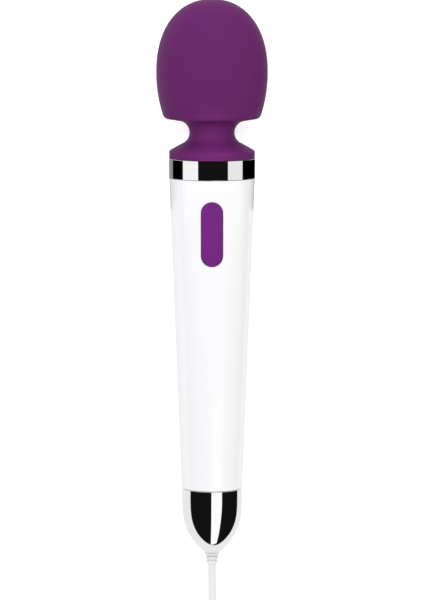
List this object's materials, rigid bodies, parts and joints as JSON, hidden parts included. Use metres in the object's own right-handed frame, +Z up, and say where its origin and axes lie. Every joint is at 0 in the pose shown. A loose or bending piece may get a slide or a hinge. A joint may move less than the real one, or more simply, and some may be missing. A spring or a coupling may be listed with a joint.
{
  "type": "handheld wand massager",
  "caption": "Corded wand massager with a soft domed head on a flexible neck, a long push button, a tapered handle and a bullet-shaped tail cap.",
  "frame": {"origin": "middle of the footprint of the wand itself, without its lead, on the surface it lies on", "axes": "+Y along the wand towards the head, +Z up, which is the button side, +X to the right"},
  "size_m": [0.0825, 0.5036, 0.0629],
  "materials": {
    "purple_silicone": "satin silicone",
    "chrome": "mirror bright",
    "white_gloss": "gloss moulded",
    "purple_button": "satin gloss moulded",
    "white_lead": "soft vinyl",
    "pale_boot": "soft translucent vinyl",
    "white_adapter": "fine moulded texture",
    "steel": "bright steel",
    "brass": "turned",
    "copper": "enamelled wire",
    "black_plastic": "moulded",
    "grey_plastic": "moulded",
    "board_green": "solder mask",
    "magnet_grey": "sintered",
    "mount_rubber": "moulded",
    "tie_black": "woven strap"
  },
  "bodies": {
    "handle": {"collar_skin": "purple_silicone", "neck_clamp": "grey_plastic", "trim_ring": "chrome", "front_shell": "white_gloss", "rear_shell": "white_gloss", "handle_screws": "steel", "switch_body": "black_plastic", "circuit_board": "board_green", "board_screws": "steel", "board_parts": "black_plastic", "motor_can": "steel", "motor_magnets": "magnet_grey", "motor_end_bell": "black_plastic", "motor_bushings": "brass", "motor_brushes": "magnet_grey", "brush_arms": "brass", "motor_mount_front": "mount_rubber", "motor_mount_rear": "mount_rubber", "end_cap": "chrome", "strain_relief": "pale_boot", "inner_lead": "white_lead", "cord_clamp": "grey_plastic", "lead_wires": "copper", "cord_lead": "white_lead", "cord_tail": "white_lead", "cord_coil": "white_lead", "cord_tie": "tie_black", "adapter_body": "white_adapter", "adapter_boot": "pale_boot", "adapter_blades": "steel"},
    "neck": {"neck_skin": "purple_silicone", "flex_sleeve": "steel"},
    "head": {"head_skin": "purple_silicone", "head_core_front": "grey_plastic", "head_core_rear": "grey_plastic", "head_screws": "steel", "head_bearing_top": "steel", "head_bearing_low": "steel", "bearing_retainer": "steel"},
    "eccentric": {"eccentric_shaft": "steel", "eccentric_weight": "steel"},
    "rotor": {"drive_cable": "steel", "armature": "steel", "motor_windings": "copper", "commutator": "copper", "motor_shaft": "steel", "shaft_coupling": "brass"},
    "button": {"button": "purple_button", "button_carrier": "black_plastic", "switch_plunger": "black_plastic"}
  },
  "joints": [
    {"name": "neck_pitch", "type": "hinge", "parent": "handle", "child": "neck", "pos_m": [0, 0.0846, 0.02914], "axis": [1, 0, 0], "range_deg": [-14, 14], "stiffness_Nm_per_rad": 9, "deforming": ["neck_skin", "flex_sleeve", "drive_cable"]},
    {"name": "neck_sway", "type": "hinge", "parent": "neck", "child": "head", "pos_m": [0, 0.0846, 0.02914], "axis": [0, -0.0604, 0.9982], "range_deg": [-14, 14], "stiffness_Nm_per_rad": 9, "deforming": ["neck_skin", "flex_sleeve", "drive_cable"]},
    {"name": "button_press", "type": "slide", "parent": "handle", "child": "button", "axis": [0, 0.0604, -0.9982], "range_m": [0, 0.0008], "stiffness_N_per_m": 900},
    {"name": "motor_spin", "type": "hinge", "parent": "handle", "child": "rotor", "pos_m": [0, 0.0292, 0.02579], "axis": [0, 0.9982, 0.0604], "continuous": true},
    {"name": "eccentric_spin", "type": "hinge", "parent": "head", "child": "eccentric", "pos_m": [0, 0.12302, 0.03146], "axis": [0, 0.9982, 0.0604], "continuous": true}
  ],
  "couplings": [
    {"joint": "eccentric_spin", "follows": "motor_spin", "ratio": 1}
  ]
}
